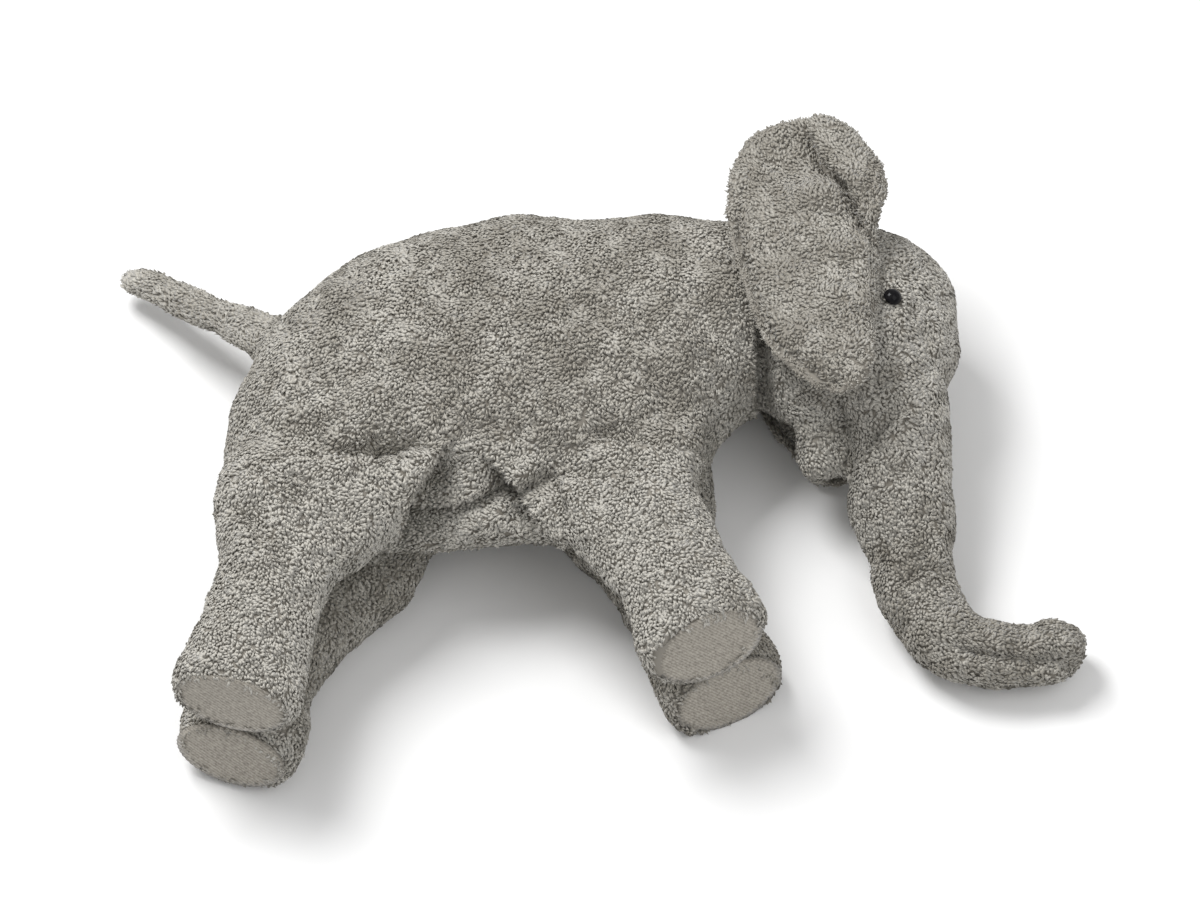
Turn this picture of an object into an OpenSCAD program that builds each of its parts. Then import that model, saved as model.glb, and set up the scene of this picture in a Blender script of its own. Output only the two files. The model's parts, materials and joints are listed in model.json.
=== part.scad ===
// Floppy stuffed elephant, lying on its right side.
// X runs from the tail to the trunk, Y from the feet to the back, and Z from the ground up,
// so the left side of the animal is uppermost. All sizes are in millimetres.

/* [Body] */
// Depth of the body from its back to its belly
body_depth = 186; // [180:1:190]
// Thickness of the body from its left side to its right side
body_thick = 114; // [108:1:116]
// Thickness of the plush and its backing
skin = 3; // [2:0.5:4]

/* [Head] */
// Thickness of the head between its cheeks
head_thick = 83; // [76:1:84]
// Diameter of an eye
eye_d = 9.2; // [8:0.2:10]
// Diameter of the washer that holds an eye
washer_d = 12; // [11:0.5:14]

/* [Trunk and tail] */
// Width of the trunk where it leaves the head
trunk_root_w = 50; // [46:1:51]
// Width of the trunk past its bend
trunk_tip_w = 35; // [32:1:36]
// Width of the tail at its root
tail_w = 22; // [18:1:24]

/* [Ears] */
// Thickness of one ear's plush layer
ear_skin = 3; // [2:0.5:3.5]
// Thickness of the wadding between an ear's two layers
ear_wadding_t = 6; // [4:0.5:6]

/* [Legs] */
// Radius of the round root of a leg, inside the body
leg_root_r = 44; // [42:1:45]
// Width of a foot
foot_w = 65; // [60:1:68]
// Thickness of a leg from side to side
leg_thick = 46; // [42:1:46]
// Thickness of a sole
sole_t = 4; // [3:0.5:5]

/* [Clearance] */
// Free space around each root that turns in the body
room = 0.7; // [0.6:0.1:1]

/* [Hidden] */

// ---- Forms -------------------------------------------------------------------------------
// A form is a list of stations. A station is an oval that stands upright:
// [x, y, z, turn, a, b] is its centre, the direction that the form runs in plan, its half
// width in plan and its half height. The ground flattens whatever would lie below z = 0.
function across(turn) = [-sin(turn), cos(turn)];
function spot(st, angle, inset) =
    let (a = st[4] - inset, b = st[5] - inset, side = a * cos(angle) * across(st[3]))
    [st[0] + side[0], st[1] + side[1], max(inset, st[2] + b * sin(angle))];
function rings(form, angles, inset) =
    [for (st = form) for (angle = angles) spot(st, angle, inset)];
function arc(from, to, steps) = [for (i = [0 : steps]) from + (to - from) * i / steps];
function open_end(list) = [for (i = [0 : len(list) - 2]) list[i]];

// Two triangles between four grid points, with the diagonal always from p to r
function pair(p, q, r, s) = [[p, q, r], [p, r, s]];
function join(lists) = [for (list = lists) each list];
function grid_faces(rows, cols, wrap, base, flip) = join([
    for (i = [0 : rows - 2]) for (j = [0 : cols - (wrap ? 1 : 2)])
        let (k = (j + 1) % cols, p = base + i * cols + j, q = base + (i + 1) * cols + j,
             r = base + (i + 1) * cols + k, s = base + i * cols + k)
        flip ? [[p, r, q], [p, s, r]] : pair(p, q, r, s)
]);

// Cloth over part of the way round a form, with an edge on all four sides
module panel(form, angles) {
    rows = len(form);
    cols = len(angles);
    n = rows * cols;
    ends = join([for (j = [0 : cols - 2]) join([
        pair(j, j + 1, n + j + 1, n + j),
        [for (f = pair(n - cols + j, n - cols + j + 1, 2 * n - cols + j + 1, 2 * n - cols + j))
            [f[0], f[2], f[1]]]
    ])]);
    sides = join([for (i = [0 : rows - 2]) join([
        [for (f = pair(i * cols, (i + 1) * cols, n + (i + 1) * cols, n + i * cols))
            [f[0], f[2], f[1]]],
        pair((i + 1) * cols - 1, (i + 2) * cols - 1, n + (i + 2) * cols - 1, n + (i + 1) * cols - 1)
    ])]);
    polyhedron(
        concat(rings(form, angles, 0), rings(form, angles, skin)),
        join([grid_faces(rows, cols, false, 0, false), grid_faces(rows, cols, false, n, true),
              ends, sides]),
        convexity = 6
    );
}

// Cloth all the way round a form, open at both ends
module sleeve(form, angles) {
    rows = len(form);
    cols = len(angles);
    n = rows * cols;
    ends = join([for (j = [0 : cols - 1]) let (k = (j + 1) % cols) join([
        pair(j, k, n + k, n + j),
        [for (f = pair(n - cols + j, n - cols + k, 2 * n - cols + k, 2 * n - cols + j))
            [f[0], f[2], f[1]]]
    ])]);
    polyhedron(
        concat(rings(form, angles, 0), rings(form, angles, skin)),
        join([grid_faces(rows, cols, true, 0, false), grid_faces(rows, cols, true, n, true), ends]),
        convexity = 6
    );
}

// The solid inside a form, with a flat end at its first and last stations
module filling(form, angles, inset) {
    rows = len(form);
    cols = len(angles);
    n = rows * cols;
    polyhedron(
        rings(form, angles, inset),
        join([grid_faces(rows, cols, true, 0, false),
              [[for (j = [0 : cols - 1]) j]],
              [[for (j = [0 : cols - 1]) n - 1 - j]]]),
        convexity = 4
    );
}

// The space that a round root and the limb beyond it sweep about an upright axis
module swing_room(pivot, r, half_w, reach, from, to, low, high) {
    far = reach / cos((to - from) / 2);
    first = [cos(from), sin(from)];
    last = [cos(to), sin(to)];
    middle = [cos((from + to) / 2), sin((from + to) / 2)];
    translate([pivot[0], pivot[1], low])
        linear_extrude(high - low) {
            circle(r + room, $fn = 96);
            polygon([
                [0, 0],
                -(half_w + room) * across(from),
                reach * first - (half_w + room) * across(from),
                far * middle,
                reach * last + (half_w + room) * across(to),
                (half_w + room) * across(to)
            ]);
        }
}

// ---- Body --------------------------------------------------------------------------------
body_mid_z = 50;
bd = body_depth / 2;
bt = body_thick / 2;
// From the rump to the neck: x, middle in y, share of the depth, share of the thickness
BODY = [for (s = [
    [-184, 4, 0.07, 0.11], [-178, 9, 0.28, 0.42], [-166, 18, 0.52, 0.66], [-150, 24, 0.68, 0.82],
    [-125, 30, 0.83, 0.93], [-90, 37, 0.94, 0.98], [-50, 41, 1, 1], [0, 43, 0.98, 0.98],
    [35, 52, 0.86, 0.89], [58, 67, 0.68, 0.78], [76, 82, 0.46, 0.67]
]) [s[0], s[1], body_mid_z, 0, bd * s[2], bt * s[3]]];
gusset_half = 27;
body_left_arc = arc(0, 180 - gusset_half, 14);
body_gusset_arc = arc(180 - gusset_half, 180 + gusset_half, 6);
body_right_arc = arc(180 + gusset_half, 360, 14);
body_round = concat(open_end(body_left_arc), open_end(body_gusset_arc), open_end(body_right_arc));

neck = [88, 83];
neck_r = 47;
tail_pivot = [-158, 69];
tail_turn = 144;
tail_swing = 35;

// Half the width of a leg just past its round root
leg_neck = 39;
leg_reach = 62;
above = 130;
module body_rooms() {
    for (leg = LEGS) {
        swing_room(leg_pivot(leg), leg_root_r, leg_neck, leg_reach,
                   leg[3] + leg[5], leg[3] + leg[6], -1, above);
    }
    translate([neck[0], neck[1], -1]) cylinder(h = above, r = neck_r + room, $fn = 96);
    swing_room(tail_pivot, tail_w / 2, tail_w / 2, 30,
               tail_turn - tail_swing, tail_turn + tail_swing, 36, 66);
}

module torso_left_panel() {
    color("#a19e96") difference() {
        panel(BODY, body_left_arc);
        body_rooms();
    }
}
module torso_right_panel() {
    color("#96938b") difference() {
        panel(BODY, body_right_arc);
        body_rooms();
    }
}
module belly_gusset() {
    color("#8b887f") difference() {
        panel(BODY, body_gusset_arc);
        body_rooms();
    }
}
module torso_stuffing() {
    color("white") difference() {
        filling(BODY, body_round, skin);
        body_rooms();
    }
}

// ---- Head --------------------------------------------------------------------------------
head_mid_z = 54.5;
ht = head_thick / 2;
// From the neck root to the brow: x, middle in y, half depth, share of the thickness
HEAD = [for (s = [
    [41.5, 83, 8, 0.32], [45, 83, 18, 0.56], [55, 83, 32.5, 0.74], [70, 83, 42.5, 0.87],
    [88, 83, 46.5, 0.94], [105, 79, 51.5, 0.99], [122, 75, 58, 1], [145, 72, 58, 0.92],
    [160, 72, 51, 0.77], [171, 71, 40, 0.58], [178, 71, 26, 0.34], [181, 71, 9, 0.15]
]) [s[0], s[1], head_mid_z, 0, s[2], ht * s[3]]];
head_left_arc = arc(0, 180, 14);
head_right_arc = arc(180, 360, 14);
head_round = concat(open_end(head_left_arc), open_end(head_right_arc));

trunk_pivot = [149, 17];
trunk_turn = -83;
trunk_back = 6;
trunk_forward = 45;

eye_x = 145;
eye_y = 70;
eye_lean = 15;
eye_rise = 3;
shank_r = 1.5;
shank_len = 9;
washer_t = 1.5;

module trunk_room() {
    swing_room(trunk_pivot, trunk_root_w / 2, 23, 40,
               trunk_turn - trunk_back, trunk_turn + trunk_forward, -1, above);
}
// Stands its children on the cheek: side is 1 on the left and -1 on the right
module on_cheek(side) {
    translate([eye_x, eye_y, head_mid_z + side * ht * 0.92])
        mirror([0, 0, side > 0 ? 0 : 1]) rotate([0, eye_lean, 0]) children();
}
module shank_hole() {
    translate([0, 0, -2 * skin]) cylinder(h = 3 * skin, r = shank_r + 0.3, $fn = 32);
}
module washer_hole() {
    translate([0, 0, -shank_len - 3]) cylinder(h = shank_len + 3, r = washer_d / 2 + 0.3, $fn = 48);
}

module head_left_panel() {
    color("#a6a39b") difference() {
        panel(HEAD, head_left_arc);
        trunk_room();
        on_cheek(1) shank_hole();
    }
}
module head_right_panel() {
    color("#98958d") difference() {
        panel(HEAD, head_right_arc);
        trunk_room();
        on_cheek(-1) shank_hole();
    }
}
module head_stuffing() {
    color("white") difference() {
        filling(HEAD, head_round, skin);
        trunk_room();
        on_cheek(1) washer_hole();
        on_cheek(-1) washer_hole();
    }
}

// The lower lip is a small stuffed pouch under the root of the trunk
lip_round = open_end(arc(0, 360, 20));
LIP = [for (s = [
    [96, 22, 4, 5], [98.5, 18, 11, 11], [103, 14, 18, 15], [108, 12, 20, 16], [112, 14, 16, 12],
    [114, 16, 6, 5]
]) [s[0], s[1], 42, 0, s[2], s[3]]];
module lower_lip() {
    color("#9c9990") difference() {
        filling(LIP, lip_round, 0);
        filling(HEAD, head_round, 0);
    }
}

module eye() {
    dome_r = (pow(eye_d / 2, 2) + pow(eye_rise, 2)) / (2 * eye_rise);
    color("#0c0c0d") translate([0, 0, 0.5]) {
        rotate_extrude($fn = 64) intersection() {
            translate([0, eye_rise - dome_r]) circle(dome_r, $fn = 96);
            square([eye_d, eye_rise + 1]);
        }
        translate([0, 0, -shank_len]) cylinder(h = shank_len, r = shank_r, $fn = 32);
    }
}
module eye_left() { on_cheek(1) eye(); }
module eye_right() { on_cheek(-1) eye(); }

module eye_washer() {
    color("#d8d5cc") translate([0, 0, -skin - 3]) difference() {
        cylinder(h = washer_t, r = washer_d / 2, $fn = 48);
        translate([0, 0, -1]) cylinder(h = washer_t + 2, r = shank_r, $fn = 32);
    }
}
module eye_washer_left() { on_cheek(1) eye_washer(); }
module eye_washer_right() { on_cheek(-1) eye_washer(); }

// ---- Trunk -------------------------------------------------------------------------------
tr = trunk_root_w / 2;
tt = trunk_tip_w / 2;
// A station set back from a pivot inside its round root
function root_station(pivot, turn, back, r, z, b) =
    [pivot[0] - back * cos(turn), pivot[1] - back * sin(turn), z, turn,
     sqrt(r * r - back * back) - 0.2, b];
TRUNK = concat(
    [for (k = [[0.97, 13], [0.85, 20], [0.5, 26]])
        root_station(trunk_pivot, trunk_turn, k[0] * tr, tr, 45, k[1])],
    [[149, 17, 44, trunk_turn, tr - 0.2, 28], [151, 2, 39, trunk_turn, 0.93 * tr, 27],
     [153, -18, 31, trunk_turn, 0.87 * tr, 24], [155.5, -38, 24, trunk_turn, 0.81 * tr, 21.5],
     [158, -55, 20, -80, 0.76 * tr, 19.5], [161, -66, 18, -72, 0.72 * tr, 18]]
);
curl_pivot = [163, -69];
curl_turn = -48;
curl_out = 30;
curl_in = 45;
// The trunk tip is bent, so it sweeps a little more than a straight limb would
bend_slack = 2;
TIP = concat(
    [for (k = [[0.96, 10], [0.8, 14], [0.45, 17]])
        root_station(curl_pivot, curl_turn, k[0] * tt, tt, 18, k[1])],
    [[163, -69, 18, curl_turn, tt - 0.2, 18], [172, -77.5, 17.5, -38, tt, 17.5],
     [186, -85.5, 17, -20, tt, 17], [205, -90, 16, -5, 0.98 * tt, 16],
     [222, -89.5, 15, 3, tt, 15], [232, -88.5, 13.5, 5, 0.86 * tt, 13.5],
     [238.5, -88, 12, 5, 0.4 * tt, 7]]
);
// Across the trunk, 0 is its outer side and 180 its underside
trunk_side_arc = arc(-130, 130, 20);
trunk_under_arc = arc(130, 230, 6);
trunk_round = concat(open_end(trunk_side_arc), open_end(trunk_under_arc));

module curl_room() {
    swing_room(curl_pivot, tt, tt + bend_slack, 30,
               curl_turn - curl_out, curl_turn + curl_in, -1, above);
}
module trunk_side_panel() {
    color("#a19e96") difference() {
        panel(TRUNK, trunk_side_arc);
        curl_room();
    }
}
module trunk_under_panel() {
    color("#88857c") difference() {
        panel(TRUNK, trunk_under_arc);
        curl_room();
    }
}
module trunk_stuffing() {
    color("white") difference() {
        filling(TRUNK, trunk_round, skin);
        curl_room();
    }
}
module trunk_tip_side_panel() { color("#a6a39b") panel(TIP, trunk_side_arc); }
module trunk_tip_under_panel() { color("#88857c") panel(TIP, trunk_under_arc); }
module trunk_tip_stuffing() { color("white") filling(TIP, trunk_round, skin); }

// ---- Ears --------------------------------------------------------------------------------
ear_left_z = 97;
module ear_outline() {
    hull() {
        translate([103, 125.5]) circle(40, $fn = 40);
        translate([103, 65]) circle(31, $fn = 32);
        translate([114, 31]) circle(21, $fn = 32);
    }
}
// One flat layer of an ear; the right ear lies a little further back, under the head
module ear_layer(side, height, thick) {
    slip = side > 0 ? 0 : -4;
    translate([slip, 0, height]) linear_extrude(thick) ear_outline();
}
ear_right_z = 0;
module ear_left_inner() { color("#8b887f") ear_layer(1, ear_left_z, ear_skin); }
module ear_left_wadding() { color("white") ear_layer(1, ear_left_z + ear_skin, ear_wadding_t); }
module ear_left_outer() {
    color("#a6a39b") ear_layer(1, ear_left_z + ear_skin + ear_wadding_t, ear_skin);
}
module ear_right_outer() { color("#a6a39b") ear_layer(-1, ear_right_z, ear_skin); }
module ear_right_wadding() { color("white") ear_layer(-1, ear_right_z + ear_skin, ear_wadding_t); }
module ear_right_inner() {
    color("#8b887f") ear_layer(-1, ear_right_z + ear_skin + ear_wadding_t, ear_skin);
}

// ---- Legs --------------------------------------------------------------------------------
// [pivot x, pivot y, middle z, direction in plan, length to the sole, swing back, swing forward]
FRONT_LEFT = [8, -14, 72, -66, 116, -30, 25];
FRONT_RIGHT = [14, -12, 23, -64, 116, -30, 4];
REAR_LEFT = [-147, -26, 72, -105, 128, -25, 25];
REAR_RIGHT = [-135, -26, 23, -108, 134, -25, 25];
LEGS = [FRONT_LEFT, FRONT_RIGHT, REAR_LEFT, REAR_RIGHT];
function leg_pivot(leg) = [leg[0], leg[1]];
leg_round = open_end(arc(0, 360, 24));
lt = leg_thick / 2;

function leg_station(leg, along, a, b) =
    [leg[0] + along * cos(leg[3]), leg[1] + along * sin(leg[3]), leg[2], leg[3], a, b];
function leg_form(leg) =
    let (fw = foot_w / 2, end = leg[4])
    concat(
        [for (k = [[0.97, 0.5], [0.85, 0.72], [0.6, 0.88], [0.3, 0.96]])
            root_station(leg_pivot(leg), leg[3], k[0] * leg_root_r, leg_root_r, leg[2], lt * k[1])],
        [leg_station(leg, 0, leg_root_r - 0.2, lt), leg_station(leg, 20, 0.89 * leg_root_r, lt),
         leg_station(leg, 36, 0.8 * leg_root_r, lt), leg_station(leg, 0.5 * end, 0.98 * fw, 0.97 * lt),
         leg_station(leg, 0.72 * end, 0.95 * fw, 0.94 * lt), leg_station(leg, 0.88 * end, fw, 0.97 * lt),
         leg_station(leg, end, 0.96 * fw, 0.95 * lt)]
    );
function sole_form(leg) =
    let (fw = foot_w / 2, end = leg[4])
    [leg_station(leg, end, 0.96 * fw, 0.95 * lt),
     leg_station(leg, end + 0.6 * sole_t, 0.93 * fw, 0.91 * lt),
     leg_station(leg, end + sole_t, 0.82 * fw, 0.78 * lt)];

module leg_cover(leg) { color("#a19e96") sleeve(leg_form(leg), leg_round); }
module leg_stuffing(leg) { color("white") filling(leg_form(leg), leg_round, skin); }
module leg_sole(leg) { color("#8a8278") filling(sole_form(leg), leg_round, 0); }

// ---- Tail --------------------------------------------------------------------------------
tw = tail_w / 2;
tail_round = open_end(arc(0, 360, 16));
function tail_station(along, drop, share) =
    [tail_pivot[0] + along * cos(tail_turn), tail_pivot[1] + along * sin(tail_turn), 50 - drop,
     tail_turn, tw * share, tw * share];
TAIL = concat(
    [for (k = [[0.95, 0.45], [0.75, 0.7], [0.4, 0.92]])
        root_station(tail_pivot, tail_turn, k[0] * tw, tw, 50, tw * k[1])],
    [tail_station(0, 0, 0.98), tail_station(22, 9, 0.95), tail_station(46, 20, 0.84),
     tail_station(72, 30, 0.72), tail_station(90, 36, 0.66), tail_station(97, 38.5, 0.4)]
);
module tail_cover() { color("#a19e96") sleeve(TAIL, tail_round); }
module tail_stuffing() { color("white") filling(TAIL, tail_round, skin); }

torso_left_panel();
torso_right_panel();
belly_gusset();
torso_stuffing();
head_left_panel();
head_right_panel();
head_stuffing();
lower_lip();
eye_left();
eye_right();
eye_washer_left();
eye_washer_right();
trunk_side_panel();
trunk_under_panel();
trunk_stuffing();
trunk_tip_side_panel();
trunk_tip_under_panel();
trunk_tip_stuffing();
ear_left_outer();
ear_left_wadding();
ear_left_inner();
ear_right_outer();
ear_right_wadding();
ear_right_inner();
leg_cover(FRONT_LEFT);  // leg_front_left_cover
leg_stuffing(FRONT_LEFT);  // leg_front_left_stuffing
leg_sole(FRONT_LEFT);  // leg_front_left_sole
leg_cover(FRONT_RIGHT);  // leg_front_right_cover
leg_stuffing(FRONT_RIGHT);  // leg_front_right_stuffing
leg_sole(FRONT_RIGHT);  // leg_front_right_sole
leg_cover(REAR_LEFT);  // leg_rear_left_cover
leg_stuffing(REAR_LEFT);  // leg_rear_left_stuffing
leg_sole(REAR_LEFT);  // leg_rear_left_sole
leg_cover(REAR_RIGHT);  // leg_rear_right_cover
leg_stuffing(REAR_RIGHT);  // leg_rear_right_stuffing
leg_sole(REAR_RIGHT);  // leg_rear_right_sole
tail_cover();
tail_stuffing();
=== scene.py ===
"""A floppy grey plush elephant, lying on its right side."""
import json
import math

import bmesh
import bpy
import numpy as np
from mathutils import Matrix, Vector

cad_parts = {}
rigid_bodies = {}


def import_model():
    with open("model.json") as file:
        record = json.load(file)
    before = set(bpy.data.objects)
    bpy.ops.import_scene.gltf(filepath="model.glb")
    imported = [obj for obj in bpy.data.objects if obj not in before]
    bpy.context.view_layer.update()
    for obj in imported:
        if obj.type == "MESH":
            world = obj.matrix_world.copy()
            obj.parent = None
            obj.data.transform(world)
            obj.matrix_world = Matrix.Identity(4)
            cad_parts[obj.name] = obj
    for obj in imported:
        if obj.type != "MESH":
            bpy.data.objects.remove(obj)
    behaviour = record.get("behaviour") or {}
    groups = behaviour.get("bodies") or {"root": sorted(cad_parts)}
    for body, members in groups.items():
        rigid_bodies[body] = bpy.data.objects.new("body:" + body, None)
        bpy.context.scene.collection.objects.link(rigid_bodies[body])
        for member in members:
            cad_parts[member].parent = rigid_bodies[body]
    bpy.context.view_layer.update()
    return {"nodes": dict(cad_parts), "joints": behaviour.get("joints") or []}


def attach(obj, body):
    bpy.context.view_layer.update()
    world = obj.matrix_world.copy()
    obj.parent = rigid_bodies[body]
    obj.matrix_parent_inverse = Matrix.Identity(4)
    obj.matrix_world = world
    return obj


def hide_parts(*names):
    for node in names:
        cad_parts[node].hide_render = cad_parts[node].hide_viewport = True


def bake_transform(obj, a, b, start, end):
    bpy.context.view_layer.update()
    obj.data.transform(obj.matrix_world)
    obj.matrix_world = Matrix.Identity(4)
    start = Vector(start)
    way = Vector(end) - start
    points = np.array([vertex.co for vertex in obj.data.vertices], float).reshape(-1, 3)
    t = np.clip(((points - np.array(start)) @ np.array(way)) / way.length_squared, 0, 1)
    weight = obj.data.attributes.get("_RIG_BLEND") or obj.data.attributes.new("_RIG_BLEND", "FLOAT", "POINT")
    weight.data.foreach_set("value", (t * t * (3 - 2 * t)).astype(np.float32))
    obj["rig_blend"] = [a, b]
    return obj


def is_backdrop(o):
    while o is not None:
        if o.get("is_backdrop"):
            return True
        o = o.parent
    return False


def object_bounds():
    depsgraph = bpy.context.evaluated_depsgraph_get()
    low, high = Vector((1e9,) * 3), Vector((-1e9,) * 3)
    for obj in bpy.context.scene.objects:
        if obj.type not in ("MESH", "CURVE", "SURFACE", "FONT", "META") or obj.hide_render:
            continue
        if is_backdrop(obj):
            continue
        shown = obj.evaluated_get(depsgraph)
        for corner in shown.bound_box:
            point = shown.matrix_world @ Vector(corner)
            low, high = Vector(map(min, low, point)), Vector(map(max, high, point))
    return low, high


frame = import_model()
scene = bpy.context.scene
MM = 0.001

# ---- Stage, light and camera ---------------------------------------------------------------
# A white sweep of floor, a large soft lamp high on the left and a weaker one on the right.
scene.view_settings.view_transform = "Standard"
scene.view_settings.look = "None"
AIM = Vector((0, 36, 0)) * MM
VIEW_ELEVATION = math.radians(60)
CAMERA_LENS = 420
FRAME_WIDTH = 600 * MM


def aimed(name, data, place, target):
    thing = bpy.data.objects.new(name, data)
    thing.location = place
    thing.rotation_euler = (target - place).to_track_quat("-Z", "Y").to_euler()
    scene.collection.objects.link(thing)
    return thing


camera_data = bpy.data.cameras.new("camera")
camera_data.lens = CAMERA_LENS
camera_range = FRAME_WIDTH * camera_data.lens / camera_data.sensor_width
back = Vector((0, -math.cos(VIEW_ELEVATION), math.sin(VIEW_ELEVATION)))
scene.camera = aimed("camera", camera_data, AIM + back * camera_range, AIM)


def soft_lamp(name, place, size, watts):
    lamp = bpy.data.lights.new(name, "AREA")
    lamp.size = size
    lamp.energy = watts
    return aimed(name, lamp, Vector(place), AIM)


soft_lamp("key_lamp", (-0.8, 0.75, 1.8), 0.9, 37)
soft_lamp("fill_lamp", (1.1, -0.6, 1.7), 1.4, 9)
world = bpy.data.worlds.new("world")
world.use_nodes = True
sky = world.node_tree.nodes["Background"].inputs
sky["Color"].default_value = (1, 1, 1, 1)
sky["Strength"].default_value = 0.5
scene.world = world

FLOOR_HALF = 6
floor_mesh = bmesh.new()
bmesh.ops.create_grid(floor_mesh, x_segments=1, y_segments=1, size=FLOOR_HALF)
floor_data = bpy.data.meshes.new("floor")
floor_mesh.to_mesh(floor_data)
floor_mesh.free()
floor = bpy.data.objects.new("floor", floor_data)
scene.collection.objects.link(floor)
floor_white = bpy.data.materials.new("floor_white")
floor_white.use_nodes = True
floor_look = floor_white.node_tree.nodes["Principled BSDF"].inputs
floor_look["Base Color"].default_value = (0.93, 0.93, 0.93, 1)
floor_look["Roughness"].default_value = 0.9
floor_data.materials.append(floor_white)
floor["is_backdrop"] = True

# ---- Filled shape ---------------------------------------------------------------------------
# The stuffing gives the animal its shape: a broad body, a head, a trunk, a tail, a lower lip
# and four legs. Each is a run of upright ovals. They are joined into one cloth, which the wadding
# swells and the seams and folds crease, and which is cut into panels further down. All in mm.
PILE = 2.5
SIDES = 40


def step_between(low, high, value):
    share = np.clip((value - low) / (high - low), 0, 1)
    return share * share * (3 - 2 * share)


def turn_of(a, b):
    return math.atan2(b[1] - a[1], b[0] - a[0])


def stuffed(shape, ovals):
    """Lofts ovals into a closed form: (x, y, z, turn, half width, half height), in mm."""
    rings = []
    for x, y, z, turn, a, b in ovals:
        along = Vector((math.cos(turn), math.sin(turn), 0))
        side = Vector((-math.sin(turn), math.cos(turn), 0)) * max(a - PILE, 1) * MM
        rise = Vector((0, 0, 1)) * max(b - PILE, 1) * MM
        frame_of = Matrix.Identity(4)
        for column, vector in enumerate((side, rise, along, Vector((x, y, z)) * MM)):
            for row in range(3):
                frame_of[row][column] = vector[row]
        made = bmesh.ops.create_circle(shape, cap_ends=False, radius=1, segments=SIDES, matrix=frame_of)
        rings.append(made["verts"])
    for near, far in zip(rings, rings[1:]):
        edges = {e for v in near + far for e in v.link_edges if e.is_boundary or e.is_wire}
        ring_sets = (set(near), set(far))
        edges = [e for e in edges if any(set(e.verts) <= s for s in ring_sets)]
        bmesh.ops.bridge_loops(shape, edges=edges)
    for end in (rings[0], rings[-1]):
        bmesh.ops.contextual_create(shape, geom=end)


# From the rump to the neck: x, middle y, half depth, half thickness
BODY = [
    (-186, 6, 8, 8), (-180, 11, 28, 24), (-168, 19, 48, 38), (-150, 27, 66, 47), (-125, 33, 80, 53),
    (-90, 40, 90, 56), (-50, 46, 92, 57), (0, 48, 90, 56), (35, 59, 80, 53), (58, 75, 62, 49),
    (72, 83, 52, 43), (80, 85, 45, 38),
]
BODY_Z = 51
HEAD = [
    (58, 82, 42, 35), (75, 81, 47, 38), (90, 77, 52, 40), (105, 73.5, 56, 41), (122, 73, 58, 42),
    (138, 74, 57, 41), (152, 73, 53, 37), (162, 73, 45, 31), (170, 74, 35, 23), (175, 75, 24, 14),
    (177.5, 75, 8, 5),
]
HEAD_Z = 54.5
# Down the trunk: x, y, z, half width, half height
TRUNK = [
    (147, 46, 53, 25, 33), (147, 30, 50, 27, 32), (147.5, 17, 46, 27.5, 31), (147.5, 5, 42, 28.5, 30),
    (149, -7, 37, 28, 28.5), (151.5, -22, 31, 25.5, 26.5), (154, -38, 26, 23, 24),
    (156, -54, 23, 21.5, 22.5), (159.5, -67, 21, 20.5, 21), (167.5, -79.5, 20, 20, 20),
    (181, -88.5, 19.5, 19.5, 19.5), (197, -92, 19, 19, 19), (213, -92.5, 18, 17.5, 17.5),
    (226, -89, 18, 19, 18), (234, -89, 17, 18, 17), (237, -90, 16, 14, 13), (239, -91, 16, 7, 7),
]
TAIL = [
    (-150, 64, 52, 13.5, 13.5), (-160, 70.5, 50, 14, 14), (-172, 79.5, 46, 13.5, 13.5),
    (-190, 93, 37, 12.5, 12.5), (-208, 107, 28, 11.5, 11.5), (-224, 119, 20, 11, 11),
    (-235, 126.5, 16, 10.5, 10.5), (-241, 131, 14, 6, 6),
]
LIP = [
    (97.5, 14, 41, 5, 6), (100, 11, 41, 11, 11), (105, 8, 41, 16, 15), (110, 7, 41, 17, 16),
    (115, 8, 42, 14, 13), (119, 10, 43, 7, 7),
]


def joint_place(name):
    return Vector(next(j["pos_m"] for j in frame["joints"] if j["name"] == name)) / MM


# Each leg runs from its hip joint, at an angle in plan. Along it: distance, sideways shift,
# half width, half height, middle height above the leg's own.
FRONT_RUN = [
    (-28, 4, 34, 13, 2), (-10, 6, 46, 19, 1), (12, 3, 43, 22.5, 0.5), (26, 1, 36, 24, 0),
    (42, 0.5, 31.5, 24, 0), (62, 0, 30.5, 23.5, -1), (82, 0.5, 32, 23.5, -2), (100, 0, 34.5, 24, -2.5),
    (111, 0, 34.8, 24, -3), (117, 0, 33, 22.5, -3),
]
REAR_RUN = [
    (-34, 14, 32, 10, 1), (-18, 9, 46, 17, 2), (2, 2, 47.5, 21.5, 1.5), (20, -1, 43.5, 23.5, 1),
    (36, -1, 36, 24, 0), (56, -0.5, 30.5, 24, -1), (80, -1, 30.5, 23.5, -2), (98, -1, 33, 24, -3),
    (114, -0.5, 35, 24, -4), (124, -0.5, 34.5, 23.5, -4), (128, -0.5, 33, 22.5, -4),
]
LOWER_REAR_RUN = [
    (-24, 8, 36, 13, 0), (0, 6, 50, 19, 0), (20, 5, 46, 21.5, 0), (38, 3, 41, 22, 0), (57, 0, 34, 22, 0),
    (79, -4, 29.5, 22, 0), (95, -5, 30, 22.5, 0), (112, -6, 33.5, 23, 0), (128, -6, 34.5, 23, 0),
    (136, -6, 32.5, 21.5, 0),
]
LEGS = {
    "front_left": (math.radians(-66), 72, FRONT_RUN),
    "front_right": (math.radians(-64), 23.5, FRONT_RUN),
    "rear_left": (math.radians(-105), 72, REAR_RUN),
    "rear_right": (math.radians(-108), 23.5, LOWER_REAR_RUN),
}


# The legs of a pair are made a little apart, so each gets its own skin, and then brought together.
LEGS_APART = 4
LEGS_BROUGHT_IN = 2.2
BETWEEN_LEGS = 47.5
HIP_LENGTH = 30


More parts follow.
